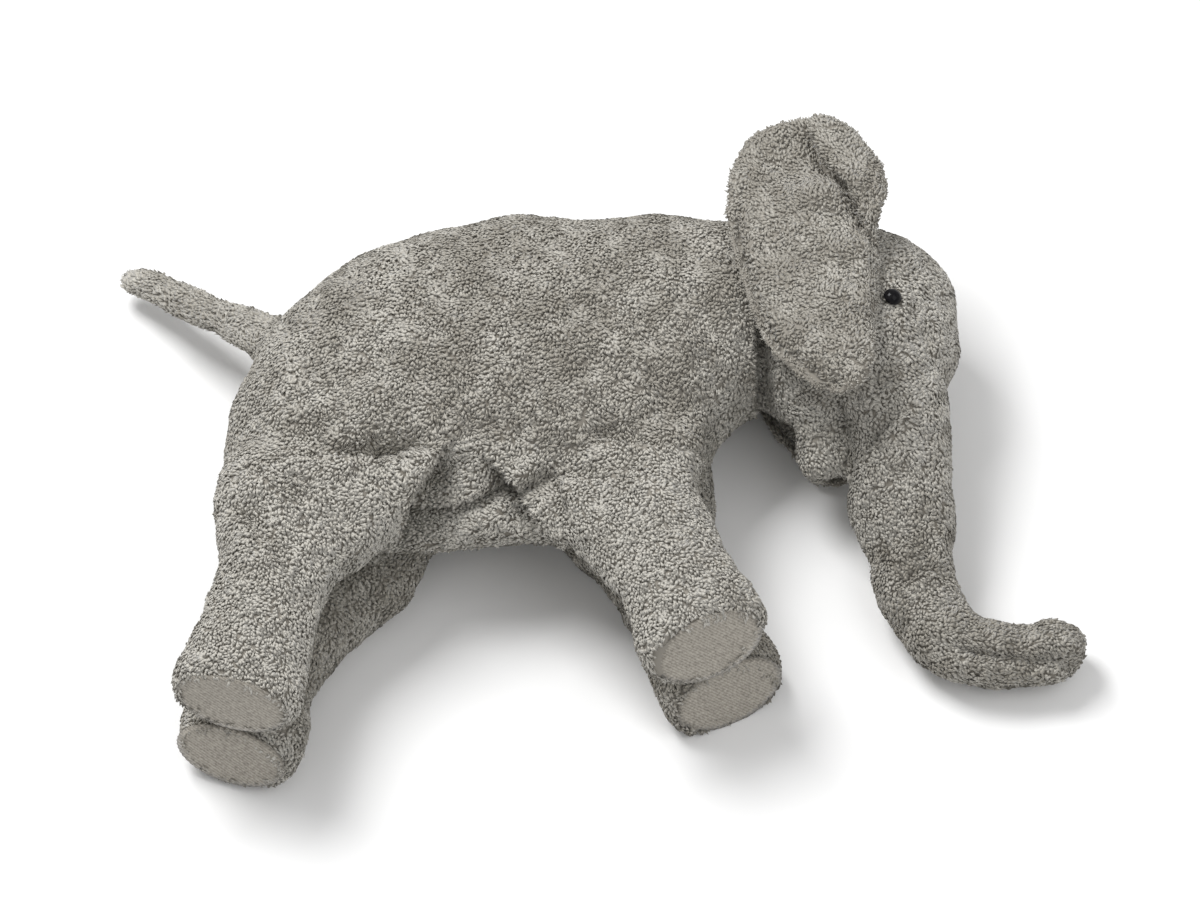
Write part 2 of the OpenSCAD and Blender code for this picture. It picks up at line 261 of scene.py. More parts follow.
def leg_ovals(name, apart=0):
    turn, middle, run = LEGS[name]
    outward = 1 if name.endswith("left") else -1
    hip = joint_place(f"leg_{name}_swing")
    along = Vector((math.cos(turn), math.sin(turn)))
    side = Vector((-math.sin(turn), math.cos(turn)))
    for distance, shift, a, b, rise in run:
        spot = hip.xy + along * distance + side * shift
        spread = outward * apart * step_between(0, HIP_LENGTH, distance)
        yield spot.x, spot.y, middle + rise + spread, turn, a, b


def measured_on(points, leg):
    """The way a leg points in plan, and how far points are down it and to its side."""
    turn = LEGS[leg][0]
    from_hip = points[:, :2] - np.array(joint_place(f"leg_{leg}_swing").xy)
    along = np.array((math.cos(turn), math.sin(turn)))
    return along, from_hip @ along, from_hip @ np.array((-along[1], along[0]))


def bring_in(points, leg):
    """Moves a leg back towards the other one of its pair."""
    along, reached, beside = measured_on(points, leg)
    outward = 1 if leg.endswith("left") else -1
    share = step_between(0, HIP_LENGTH, reached) * (1 - step_between(44, 60, abs(beside)))
    share *= step_between(BETWEEN_LEGS, BETWEEN_LEGS + 5.5 * outward, points[:, 2])
    points[:, 2] -= outward * LEGS_BROUGHT_IN * share


FOOT_SLANT = {"front_left": 0.34, "front_right": 0.34, "rear_left": 0.18, "rear_right": 0.3}
FOOT_DRAWN_BACK = {"front_left": 3, "front_right": 3, "rear_left": 0.5, "rear_right": 3}
FOOT_LENGTH = 50


def cut_foot(points, leg, snap):
    """Slants the end of a foot back at the top, and cuts the leg off flat there."""
    middle, run = LEGS[leg][1:]
    along, reached, beside = measured_on(points, leg)
    end = run[-1][0]
    mid = middle + run[-1][4]
    mine = (reached > end - FOOT_LENGTH) & (abs(beside) < 52)
    mine &= (points[:, 2] > BETWEEN_LEGS) if leg.endswith("left") else (points[:, 2] <= BETWEEN_LEGS)
    cut = np.minimum(reached, end - 1) if snap else reached
    slant = FOOT_SLANT[leg] * (points[:, 2] - mid) + FOOT_DRAWN_BACK[leg]
    cut = cut - slant * step_between(end - FOOT_LENGTH, end, reached)
    points[mine, :2] += (cut - reached)[mine, None] * along


def path_ovals(path):
    for i, (x, y, z, a, b) in enumerate(path):
        turn = turn_of(path[max(i - 1, 0)], path[min(i + 1, len(path) - 1)])
        yield x, y, z, turn, a, b


shape = bmesh.new()
stuffed(shape, [(x, y, BODY_Z, 0, a, b) for x, y, a, b in BODY])
stuffed(shape, [(x, y, HEAD_Z, 0, a, b) for x, y, a, b in HEAD])
stuffed(shape, [(x, y, z, 0, a, b) for x, y, z, a, b in LIP])
stuffed(shape, list(path_ovals(TRUNK)))
stuffed(shape, list(path_ovals(TAIL)))
for leg in LEGS:
    stuffed(shape, list(leg_ovals(leg, LEGS_APART)))
bmesh.ops.recalc_face_normals(shape, faces=shape.faces)


def as_object(name, mesh):
    data = bpy.data.meshes.new(name)
    mesh.to_mesh(data)
    mesh.free()
    thing = bpy.data.objects.new(name, data)
    scene.collection.objects.link(thing)
    return thing


def settle(thing):
    """Makes an object's modifiers part of its mesh."""
    graph = bpy.context.evaluated_depsgraph_get()
    graph.update()
    data = bpy.data.meshes.new_from_object(thing.evaluated_get(graph), preserve_all_data_layers=True,
                                           depsgraph=graph)
    thing.modifiers.clear()
    old = thing.data
    thing.data = data
    bpy.data.meshes.remove(old)


def points_of(data):
    found = np.empty(len(data.vertices) * 3, np.float32)
    data.vertices.foreach_get("co", found)
    return found.reshape(-1, 3).astype(float)


def normals_of(data):
    found = np.empty(len(data.vertices) * 3, np.float32)
    data.vertices.foreach_get("normal", found)
    return found.reshape(-1, 3).astype(float)


def put_points(data, points):
    data.vertices.foreach_set("co", points.astype(np.float32).ravel())
    data.update()


skin = as_object("plush_skin", shape)


def make_one_cloth(thing, voxel, rounds):
    remesh = thing.modifiers.new("one_cloth", "REMESH")
    remesh.mode = "VOXEL"
    remesh.voxel_size = voxel * MM
    smooth = thing.modifiers.new("soften", "SMOOTH")
    smooth.factor = 0.5
    smooth.iterations = rounds
    settle(thing)


def fill_with_wadding(thing, seams, most):
    """Lets air pressure swell the cloth between its held seams, by at most so many mm."""
    before = points_of(thing.data)
    held = thing.vertex_groups.new(name="seams")
    for index in np.nonzero(seams)[0]:
        held.add([int(index)], 1, "REPLACE")
    cloth = thing.modifiers.new("wadding", "CLOTH")
    cloth.settings.vertex_group_mass = held.name
    cloth.settings.use_pressure = True
    cloth.settings.uniform_pressure_force = 4
    cloth.settings.effector_weights.gravity = 0
    for moment in range(1, 21):
        scene.frame_set(moment)
    swollen = thing.evaluated_get(bpy.context.evaluated_depsgraph_get())
    moved = points_of(swollen.data) - before
    thing.modifiers.clear()
    scene.frame_set(1)
    far = np.linalg.norm(moved, axis=1, keepdims=True)
    moved *= np.minimum(1, most * MM / np.maximum(far, 1e-9))
    put_points(thing.data, before + moved)


def line_distance(points, line):
    """Plan distance to a line of corners in mm, the side of it, and how far along it, 0 to 1."""
    nearest = np.full(len(points), 1e9)
    side = np.zeros(len(points))
    share_along = np.zeros(len(points))
    corners = np.array(line, float)
    lengths = np.hypot(*np.diff(corners, axis=0).T)
    start = 0
    for a, b, length in zip(corners[:-1], corners[1:], lengths):
        run = b - a
        share = np.clip((points[:, :2] / MM - a) @ run / length ** 2, 0, 1)
        apart = points[:, :2] / MM - (a + share[:, None] * run)
        away = np.hypot(apart[:, 0], apart[:, 1])
        near = away < nearest
        nearest[near] = away[near]
        side[near] = np.sign(run[0] * apart[:, 1] - run[1] * apart[:, 0])[near]
        share_along[near] = ((start + share * length) / lengths.sum())[near]
        start += length
    return nearest, side, share_along


def ripple(points, size, seed):
    """A smooth uneven field between about -1 and 1, with humps this many mm apart."""
    dice = np.random.default_rng(seed)
    total = np.zeros(len(points))
    for _ in range(9):
        way = dice.normal(size=3)
        way *= dice.uniform(0.6, 1.5) * 2 * math.pi / (2 * size * MM * np.linalg.norm(way))
        total += np.sin(points @ way + dice.uniform(0, 6.3))
    return total / 2.6


COARSE_CLOTH = 4.5
FINE_CLOTH = 2.9
WADDING_SWELL = 3
make_one_cloth(skin, COARSE_CLOTH, 5)
rest = points_of(skin.data) / MM
inside_legs = (np.abs(rest[:, 2] - 48) < 4) & (rest[:, 1] < -40)
fill_with_wadding(skin, inside_legs, WADDING_SWELL)
make_one_cloth(skin, FINE_CLOTH, 3)

# Creases in the filled skin, as (corners in plan, rise and reach on the left, rise and reach on the
# right, lowest and highest z): the cloth stands up on one side of a crease and dips on the other.
CREASES = [
    ([(-186, -40), (-153, -30), (-125, -25), (-93, -19), (-74, -18)], -11, 8, 9, 20, 62, 130),
    ([(-72, -10), (-84, -24), (-95, -36), (-108, -52), (-128, -84)], -17, 15, 7, 12, 58, 130),
    ([(-60, -16), (-33, -36), (-20, -46), (-5, -62), (8, -94)], 8, 14, -13, 11, 60, 130),
    ([(-16, -8), (24, -16), (66, -14)], -6, 7, 1, 9, 70, 130),
    ([(-38, -26), (-4, -32), (30, -26)], -3, 7, 1, 9, 70, 130),
    ([(-184, -26), (-168, -36), (-144, -54)], -6, 7, 2, 10, 55, 130),
    ([(-184, -48), (-172, -60), (-154, -88)], -6, 7, 2, 10, 55, 130),
    ([(70, 90), (75, 60), (76, 40), (72, 22), (60, 0)], -10, 10, 6, 12, 40, 130),
    ([(116, 30), (119, 10), (122, -14)], -6, 4, -4, 4, 24, 75),
    ([(124, -6), (138, 2), (154, 18)], -3, 7, 1, 10, 50, 130),
    ([(132, -48), (150, -42), (164, -51)], -4, 7, 0, 8, 20, 130),
    ([(144, -67), (160, -58), (174, -61)], -4, 7, 0, 8, 20, 130),
    ([(164, -92), (180, -98), (197, -101), (214, -102), (252, -98)], -7, 3.5, -6, 3.5, 12, 130),
]
points = points_of(skin.data)
lifts = np.zeros(len(points))
for line, left, left_reach, right, right_reach, low, high in CREASES:
    away, side, share = line_distance(points, line)
    height = points[:, 2] / MM
    fade = step_between(0, 0.22, share) * (1 - step_between(0.78, 1, share))
    shown = step_between(low - 6, low + 6, height) * (1 - step_between(high - 6, high + 6, height))
    hump = np.where(side > 0, left * np.exp(-((away / left_reach) ** 2)),
                    right * np.exp(-((away / right_reach) ** 2)))
    lifts += hump * shown * fade
# The belly band is a puffed strip between two sunk seams: a level one, and one that climbs.
LOWER_SEAM = 44


def upper_seam(x):
    return np.interp(x, (-111, -26), (57, 80))


def on_belly(x, y):
    return (y < -20) & (x > -125) & (x < -10)


x, y, z = points.T / MM
under = on_belly(x, y)
seam_high = upper_seam(x)
for seam_height in (seam_high, np.full_like(x, LOWER_SEAM)):
    lifts -= 8 * under * np.exp(-(((z - seam_height) / 3.2) ** 2))
lifts += 4 * under * step_between(LOWER_SEAM, LOWER_SEAM + 6, z) * (1 - step_between(-6, 0, z - seam_high))
lifts += 0.9 * ripple(points, 26, 4) + 0.45 * ripple(points, 11, 5)
points += normals_of(skin.data) * (lifts * MM)[:, None]
for leg in LEGS:
    flat_points = points / MM
    bring_in(flat_points, leg)
    cut_foot(flat_points, leg, True)
    points = flat_points * MM
# Each eye is drawn in tight, so the cloth dips round it.
EYE = Vector((145, 70))
EYE_DEPTH = {"left": 90.0, "right": 19.0}
from_eye = np.hypot(points[:, 0] / MM - EYE.x, points[:, 1] / MM - EYE.y)
drawn_in = 1 - step_between(4.5, 13, from_eye)
top = points[:, 2] > HEAD_Z * MM
at_eye = np.where(top, EYE_DEPTH["left"], EYE_DEPTH["right"]) * MM
points[:, 2] += (at_eye - points[:, 2]) * drawn_in
# The neck rests on the right ear, which needs this much room under it.
ROOM_FOR_EAR = 17
over_ear = step_between(36, 50, points[:, 0] / MM) * step_between(50, 62, points[:, 1] / MM)
over_ear *= 1 - step_between(84, 96, points[:, 0] / MM)
points[:, 2] = np.maximum(points[:, 2], (PILE + ROOM_FOR_EAR * over_ear) * MM)
put_points(skin.data, points)

# ---- Plush pile -----------------------------------------------------------------------------
# The cloth is a short curly plush: a knitted back with small locks of yarn standing in it,
# each leaning and curling its own way. The roots and the knitted back are coloured dark as painted
# shade down between the locks, and the tips are pale.
PLUSH_ROOT_SHADE = (0.31, 0.29, 0.255, 1)
PLUSH_MIDDLE = (0.5, 0.478, 0.43, 1)
PLUSH_PALE = (0.575, 0.555, 0.503, 1)
LOCK_SPACING = 0.88
LOCK_WIDTH = 0.9
LOCKS_PER_M2 = 1700000
# Lean, sideways curl and length of each kind of lock
LOCK_FORMS = [(0.55, 0.25, 3.5), (0.75, -0.35, 3.7), (0.4, 0.4, 3.2), (0.6, -0.2, 3.5)]


def plush_material():
    made = bpy.data.materials.new("plush")
    made.use_nodes = True
    nodes, links = made.node_tree.nodes, made.node_tree.links
    shader = nodes["Principled BSDF"]
    shader.inputs["Roughness"].default_value = 0.85
    shader.inputs["Specular IOR Level"].default_value = 0.2
    shader.inputs["Sheen Weight"].default_value = 0.25
    shader.inputs["Sheen Roughness"].default_value = 0.4
    map_node = nodes.new("ShaderNodeUVMap")
    map_node.uv_map = "OFBake"
    split = nodes.new("ShaderNodeSeparateXYZ")
    links.new(map_node.outputs["UV"], split.inputs[0])
    # Along each lock from root to tip: the dark end of this ramp is painted shade among the locks.
    up_lock = nodes.new("ShaderNodeValToRGB")
    up_lock.color_ramp.elements[0].color = PLUSH_ROOT_SHADE
    up_lock.color_ramp.elements[0].position = 0.1
    up_lock.color_ramp.elements[1].color = PLUSH_PALE
    middle = up_lock.color_ramp.elements.new(0.32)
    middle.color = PLUSH_MIDDLE
    links.new(split.outputs["Y"], up_lock.inputs["Fac"])
    lock_tone = nodes.new("ShaderNodeValToRGB")
    lock_tone.color_ramp.elements[0].color = (0.6, 0.585, 0.56, 1)
    lock_tone.color_ramp.elements[1].color = (1, 1, 1, 1)
    links.new(split.outputs["X"], lock_tone.inputs["Fac"])
    tint = nodes.new("ShaderNodeMix")
    tint.data_type = "RGBA"
    tint.blend_type = "MULTIPLY"
    tint.inputs["Factor"].default_value = 1
    links.new(up_lock.outputs["Color"], tint.inputs["A"])
    links.new(lock_tone.outputs["Color"], tint.inputs["B"])
    links.new(tint.outputs["Result"], shader.inputs["Base Color"])
    return made


plush = plush_material()


def lock_shape(index, lean, curl, length):
    """One lock: a three-sided tuft, fat in the middle, that leans and curls over to a soft point."""
    made = bmesh.new()
    bmesh.ops.create_cone(made, cap_ends=True, segments=3, radius1=1, radius2=1, depth=1)
    bmesh.ops.translate(made, verts=made.verts, vec=(0, 0, 0.5))
    everything = list(made.verts) + list(made.edges) + list(made.faces)
    bmesh.ops.bisect_plane(made, geom=everything, plane_co=(0, 0, 0.6), plane_no=(0, 0, 1))
    bmesh.ops.pointmerge(made, verts=[v for v in made.verts if v.co.z > 0.9], merge_co=(0, 0, 1))
    up = made.verts.layers.float.new("height")
    across = made.verts.layers.float.new("across")
    for v in made.verts:
        t = v.co.z
        v[up] = t
        v[across] = v.co.y
        width = LOCK_WIDTH * (0.75 + 0.4 * t)
        v.co = Vector((
            length * (lean * t + 0.25 * t * t) + v.co.x * width,
            length * curl * t * t + v.co.y * width,
            length * (1 - 0.55 * lean) * math.sin(t * 1.9) * 0.8 - 0.6,
        )) * MM
    for f in made.faces:
        f.smooth = True
    return as_object(f"lock_{index}", made)


locks = bpy.data.collections.new("locks")
for index, form in enumerate(LOCK_FORMS):
    lock = lock_shape(index, *form)
    scene.collection.objects.unlink(lock)
    locks.objects.link(lock)


def pile_tree():
    tree = bpy.data.node_groups.new("plush_pile", "GeometryNodeTree")
    tree.interface.new_socket("Cloth", in_out="INPUT", socket_type="NodeSocketGeometry")
    tree.interface.new_socket("Seed", in_out="INPUT", socket_type="NodeSocketInt")
    tree.interface.new_socket("Pile", in_out="OUTPUT", socket_type="NodeSocketGeometry")
    nodes, links = tree.nodes, tree.links

    def add(kind, **settings):
        node = nodes.new(kind)
        for name, value in settings.items():
            setattr(node, name, value)
        return node

    def named(name, kind):
        node = add("GeometryNodeInputNamedAttribute", data_type=kind)
        node.inputs["Name"].default_value = name
        return node.outputs["Attribute"]

    def dice(low, high, seed, kind="FLOAT"):
        node = add("FunctionNodeRandomValue", data_type=kind)
        first, out = (0, 0) if kind == "FLOAT_VECTOR" else (2, 1)
        node.inputs[first].default_value = low
        node.inputs[first + 1].default_value = high
        node.inputs["Seed"].default_value = seed
        return node.outputs[out]

    def combine(kind, operation, a, b):
        node = add(kind, operation=operation)
        for socket, value in zip(node.inputs, (a, b)):
            if isinstance(value, (int, float)):
                socket.default_value = value
            else:
                links.new(value, socket)
        return node.outputs[0]

    cloth = add("NodeGroupInput")
    spots = add("GeometryNodeDistributePointsOnFaces", distribute_method="POISSON")
    spots.inputs["Distance Min"].default_value = LOCK_SPACING * MM
    spots.inputs["Density Max"].default_value = LOCKS_PER_M2
    links.new(cloth.outputs["Cloth"], spots.inputs["Mesh"])
    links.new(cloth.outputs["Seed"], spots.inputs["Seed"])
    links.new(named("pile", "FLOAT"), spots.inputs["Density Factor"])
    stand = add("FunctionNodeAlignRotationToVector", axis="Z")
    links.new(spots.outputs["Normal"], stand.inputs["Vector"])
    way = combine("ShaderNodeVectorMath", "ADD", named("lie", "FLOAT_VECTOR"),
                  dice((-0.7, -0.7, -0.7), (0.7, 0.7, 0.7), 3, "FLOAT_VECTOR"))
    comb = add("FunctionNodeAlignRotationToVector", axis="X", pivot_axis="Z")
    links.new(stand.outputs["Rotation"], comb.inputs["Rotation"])
    links.new(way, comb.inputs["Vector"])
    forms = add("GeometryNodeCollectionInfo")
    forms.inputs["Collection"].default_value = locks
    forms.inputs["Separate Children"].default_value = True
    forms.inputs["Reset Children"].default_value = True
    plant = add("GeometryNodeInstanceOnPoints")
    plant.inputs["Pick Instance"].default_value = True
    links.new(spots.outputs["Points"], plant.inputs["Points"])
    links.new(forms.outputs[0], plant.inputs["Instance"])
    links.new(comb.outputs["Rotation"], plant.inputs["Rotation"])
    uneven = dice((0.8, 0.8, 0.7), (1.3, 1.2, 1.3), 5, "FLOAT_VECTOR")
    size = combine("ShaderNodeVectorMath", "MULTIPLY", uneven, named("reach", "FLOAT_VECTOR"))
    links.new(size, plant.inputs["Scale"])
    tone = add("GeometryNodeStoreNamedAttribute", data_type="FLOAT", domain="INSTANCE")
    tone.inputs["Name"].default_value = "tone_of_lock"
    links.new(plant.outputs["Instances"], tone.inputs["Geometry"])
    links.new(dice(0.3, 0.8, 9), tone.inputs["Value"])
    real = add("GeometryNodeRealizeInstances")
    links.new(tone.outputs["Geometry"], real.inputs["Geometry"])
    spread = combine("ShaderNodeMath", "MULTIPLY", named("across", "FLOAT"), 0.02)
    place = add("ShaderNodeCombineXYZ")
    own_tone = combine("ShaderNodeMath", "ADD", named("tone_of_lock", "FLOAT"), spread)
    # Each lock's colour place takes its own tone plus the cloth's mottle and painted light and shade.
    links.new(combine("ShaderNodeMath", "ADD", own_tone, named("mottle_and_painted_light", "FLOAT")), place.inputs["X"])
    links.new(named("height", "FLOAT"), place.inputs["Y"])
    store = add("GeometryNodeStoreNamedAttribute", data_type="FLOAT2", domain="CORNER")
    store.inputs["Name"].default_value = "OFBake"
    links.new(real.outputs["Geometry"], store.inputs["Geometry"])
    links.new(place.outputs["Vector"], store.inputs["Value"])
    out = add("NodeGroupOutput")
    links.new(store.outputs["Geometry"], out.inputs["Pile"])
    return tree


pile_nodes = pile_tree()
CLOTH_THICKNESS = 0.9
PILE_NOTES = ("lie", "pile", "reach", "mottle_and_painted_light")
LOCK_NOTES = ("height", "across", "tone_of_lock")
seeds = iter(range(1, 99))


def lie_of(points, comb):
    """Which way the pile lies: combed one way, with swirls the size of a fingertip."""
    swirl = np.stack([ripple(points, 6, seed) for seed in (21, 22, 23)], 1)
    return swirl * 0.6 + np.array(comb, float)


def plush_piece(name, source, chosen, comb=(-0.5, -0.6, 0), bare=None, reach=None):
    """Cuts faces out of a skin as one panel, gives it the cloth's back, and sets its pile."""
    panel = bmesh.new()
    panel.from_mesh(source.data)
    panel.faces.ensure_lookup_table()
    spare = [f for f in panel.faces if not chosen[f.index]]
    bmesh.ops.delete(panel, geom=spare, context="FACES")
    cloth = as_object(name, panel)
    points = points_of(cloth.data)
    lie = cloth.data.attributes.new("lie", "FLOAT_VECTOR", "POINT")
    lie.data.foreach_set("vector", lie_of(points, comb).astype(np.float32).ravel())
    pile = cloth.data.attributes.new("pile", "FLOAT", "POINT")
    full = np.ones(len(points)) if bare is None else 1 - bare(points / MM).astype(float)
    pile.data.foreach_set("value", full.astype(np.float32))
    long = cloth.data.attributes.new("reach", "FLOAT_VECTOR", "POINT")
    lengths = 1.03 + 0.12 * ripple(points, 5, 41) if reach is None else reach(points / MM)
    long.data.foreach_set("vector", np.repeat(lengths, 3).astype(np.float32))
    mottle_and_painted_light = cloth.data.attributes.new("mottle_and_painted_light", "FLOAT", "POINT")
    # Random mottle of the pile's tone, plus painted light and shade below.
    mottle_and_painted_light_values = 0.17 * ripple(points, 17, 31) + 0.2 * ripple(points, 7, 32) + 0.08 * ripple(points, 3, 33)
    x, y, z = points.T / MM
    # Painted light and shade, region by region: the upper legs and the head are painted paler, as if lit;
    # the legs underneath are painted darker, as painted shadow under the near legs; the left ear and the
    # flank are painted darker.
    mottle_and_painted_light_values += 0.5 * step_between(0, -45, y) * step_between(30, 60, z) * step_between(90, 60, x)
    mottle_and_painted_light_values -= 0.5 * step_between(-20, -50, y) * step_between(55, 38, z) * step_between(-150, -110, y)
    mottle_and_painted_light_values -= 0.3 * step_between(92, 100, z) * step_between(50, 60, x)
    mottle_and_painted_light_values += 0.2 * step_between(78, 100, x) * step_between(100, 92, z)
    mottle_and_painted_light_values -= 0.22 * step_between(-110, -70, x) * step_between(60, 30, x) * step_between(-30, 10, y)
    mottle_and_painted_light.data.foreach_set("value", mottle_and_painted_light_values.astype(np.float32))
    tufts = bpy.data.objects.new("tufts", cloth.data.copy())
    scene.collection.objects.link(tufts)
    growing = tufts.modifiers.new("pile", "NODES")
    growing.node_group = pile_nodes
    growing[pile_nodes.interface.items_tree["Seed"].identifier] = next(seeds)
    settle(tufts)
    wall = cloth.modifiers.new("cloth", "SOLIDIFY")
    wall.thickness = CLOTH_THICKNESS * MM
    wall.offset = -1
    settle(cloth)
    for data, notes in ((cloth.data, PILE_NOTES), (tufts.data, PILE_NOTES + LOCK_NOTES)):
        for note in [a.name for a in data.attributes if a.name in notes]:
            data.attributes.remove(data.attributes[note])
    # The back's map sits low in the dark end of the plush ramp, so the cloth seen between the locks is
    # painted shade.
    back_map = cloth.data.uv_layers.new(name="OFBake")
    corners = np.empty(len(cloth.data.loops), np.int32)
    cloth.data.loops.foreach_get("vertex_index", corners)
    spots = points_of(cloth.data)[corners] / MM
    flat = np.stack([0.5 + 0.3 * np.sin(spots[:, 0] / 40), 0.04 + 0.03 * np.sin(spots[:, 1] / 40)], 1)
    back_map.uv.foreach_set("vector", flat.astype(np.float32).ravel())
    whole = bmesh.new()
    whole.from_mesh(cloth.data)
    whole.from_mesh(tufts.data)
    whole.to_mesh(cloth.data)
    whole.free()
    bpy.data.objects.remove(tufts)
    cloth.data.materials.clear()
    cloth.data.materials.append(plush)
    cloth.data.shade_smooth()
    return cloth


# ---- Where the panels meet ------------------------------------------------------------------
# The skin is cut where the real panels are sewn: at the hips, the neck, the tail, the trunk's
# root and its bend, and along the middle of the back.
count = len(skin.data.polygons)
middles = np.empty(count * 3, np.float32)
skin.data.polygons.foreach_get("center", middles)
middles = middles.reshape(-1, 3) / MM
part_of = np.full(count, "torso", dtype="<U24")
mx, my, mz = middles.T
NECK_CUT = 72
LEG_CUT = 14
TAIL_CUT = 8
TAIL_TURN = math.radians(144)
TRUNK_CUT = 18
TIP_TURN = math.radians(-48)
part_of[mx > NECK_CUT] = "head"
for leg, (turn, middle, run) in LEGS.items():
    hip = joint_place(f"leg_{leg}_swing")
    along = (mx - hip.x) * math.cos(turn) + (my - hip.y) * math.sin(turn)
    beside = -(mx - hip.x) * math.sin(turn) + (my - hip.y) * math.cos(turn)
    on_side = mz > BETWEEN_LEGS if leg.endswith("left") else mz <= BETWEEN_LEGS
    part_of[(along > LEG_CUT) & (abs(beside) < 50) & on_side] = f"leg_{leg}"
tail_hip = joint_place("tail_swing")
tail_run = (mx - tail_hip.x) * math.cos(TAIL_TURN) + (my - tail_hip.y) * math.sin(TAIL_TURN)
part_of[(tail_run > TAIL_CUT) & (mx < -158) & (my > 66)] = "tail"
curl = joint_place("trunk_curl")
tip_run = (mx - curl.x) * math.cos(TIP_TURN) + (my - curl.y) * math.sin(TIP_TURN)
on_trunk = (my < TRUNK_CUT) & (mx > 119)
part_of[on_trunk] = "trunk"
part_of[on_trunk & (tip_run > 0)] = "trunk_tip"
part_of[(my < 24) & (my > -24) & (mx > 88) & (mx < 120)] = "lower_lip"

# ---- Torso ----------------------------------------------------------------------------------
# A loosely filled bag of plush: a left and a right side panel that meet along the back, and a
# belly band sewn between them in front. The side panels carry the sleeves of the legs.
on_torso = part_of == "torso"
band = on_torso & on_belly(mx, my)
band &= (mz < upper_seam(mx)) & (mz > LOWER_SEAM)


def at_belly_seam(points):
    px, py, pz = points.T
    near = np.minimum(abs(pz - upper_seam(px)), abs(pz - LOWER_SEAM))
    return (near < 1.3) & (py < -20) & (px > -120) & (px < -40)


torso_left = plush_piece("torso_left", skin, on_torso & ~band & (mz > BODY_Z), bare=at_belly_seam)
torso_right = plush_piece("torso_right", skin, on_torso & ~band & (mz <= BODY_Z))
belly_band = plush_piece("belly_band", skin, band, comb=(-0.7, 0, 0), bare=at_belly_seam)
for piece in (torso_left, torso_right, belly_band):
    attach(piece, "torso")
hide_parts("torso_left_panel", "torso_stuffing")
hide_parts("torso_right_panel")
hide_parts("belly_gusset")

# ---- Legs -----------------------------------------------------------------------------------
# Four filled plush sleeves, which bend where they are sewn to the body. Each is closed by an oval
# sole of short-pile ribbed cloth over a little wadding, set into the slanting end of the foot.
SOLE_PALE = (0.5, 0.465, 0.405, 1)
SOLE_DARK = (0.17, 0.154, 0.13, 1)
SOLE_CROWN = 3.6
SOLE_SUNK = 1.6
HIP_GIVE = 42


def sole_material():
    made = bpy.data.materials.new("sole_cloth")
    made.use_nodes = True
    nodes, links = made.node_tree.nodes, made.node_tree.links
    shader = nodes["Principled BSDF"]
    shader.inputs["Roughness"].default_value = 0.9
    shader.inputs["Specular IOR Level"].default_value = 0.15
    shader.inputs["Sheen Weight"].default_value = 0.3
    where = nodes.new("ShaderNodeTexCoord")
    ribs = nodes.new("ShaderNodeTexWave")
    ribs.bands_direction = "DIAGONAL"
    ribs.inputs["Scale"].default_value = 260
    ribs.inputs["Distortion"].default_value = 3
    ribs.inputs["Detail"].default_value = 3
    ribs.inputs["Detail Scale"].default_value = 3
    nap = nodes.new("ShaderNodeTexNoise")
    nap.inputs["Scale"].default_value = 700
    nap.inputs["Detail"].default_value = 7
    both = nodes.new("ShaderNodeMix")
    both.inputs["Factor"].default_value = 0.8
    shade = nodes.new("ShaderNodeValToRGB")
    shade.color_ramp.elements[0].color = SOLE_DARK
    shade.color_ramp.elements[0].position = 0.2
    shade.color_ramp.elements[1].color = SOLE_PALE
    shade.color_ramp.elements[1].position = 0.75
    relief = nodes.new("ShaderNodeBump")
    relief.inputs["Strength"].default_value = 0.5
    relief.inputs["Distance"].default_value = 0.4 * MM
    for texture in (ribs, nap):
        links.new(where.outputs["Object"], texture.inputs["Vector"])
    links.new(ribs.outputs["Fac"], both.inputs["A"])
    links.new(nap.outputs["Fac"], both.inputs["B"])
    links.new(both.outputs["Result"], shade.inputs["Fac"])
    links.new(shade.outputs["Color"], shader.inputs["Base Color"])
    links.new(both.outputs["Result"], relief.inputs["Height"])
    links.new(relief.outputs["Normal"], shader.inputs["Normal"])
    return made


sole_cloth = sole_material()


def sole(leg):
    """A flat oval pad, a little crowned, set in the end of the foot."""
    end = list(leg_ovals(leg, LEGS_APART - LEGS_BROUGHT_IN))[-1]
    x, y, z, turn, a, b = end
    along = Vector((math.cos(turn), math.sin(turn), 0))
    side = Vector((-math.sin(turn), math.cos(turn), 0))
    made = bmesh.new()
    bmesh.ops.create_circle(made, cap_ends=True, radius=1, segments=48)
    for _ in range(5):
        middle_face = max(made.faces, key=lambda f: len(f.verts))
        bmesh.ops.inset_region(made, faces=[middle_face], thickness=0.16, use_even_offset=True)
    front = bmesh.ops.extrude_face_region(made, geom=made.faces[:])
    for v in front["geom"]:
        if isinstance(v, bmesh.types.BMVert):
            v.co.z = 0.25 + 0.75 * math.sqrt(max(0, 1 - v.co.xy.length_squared))
    bmesh.ops.recalc_face_normals(made, faces=made.faces)
    for v in made.verts:
        spot = Vector((x, y, z)) + side * v.co.x * (a - 2.5) + Vector((0, 0, v.co.y * (b - 2)))
        v.co = (spot + along * (v.co.z * SOLE_CROWN - SOLE_SUNK)) * MM
    for f in made.faces:
        f.smooth = True
    thing = as_object(f"sole_{leg}", made)
    smooth = thing.modifiers.new("round_edges", "SUBSURF")
    smooth.levels = smooth.render_levels = 1
    settle(thing)
    spots_on_leg = points_of(thing.data) / MM
    cut_foot(spots_on_leg, leg, False)
    put_points(thing.data, spots_on_leg * MM)
    thing.data.materials.append(sole_cloth)
    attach(thing, f"leg_{leg}")
    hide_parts(f"leg_{leg}_sole")


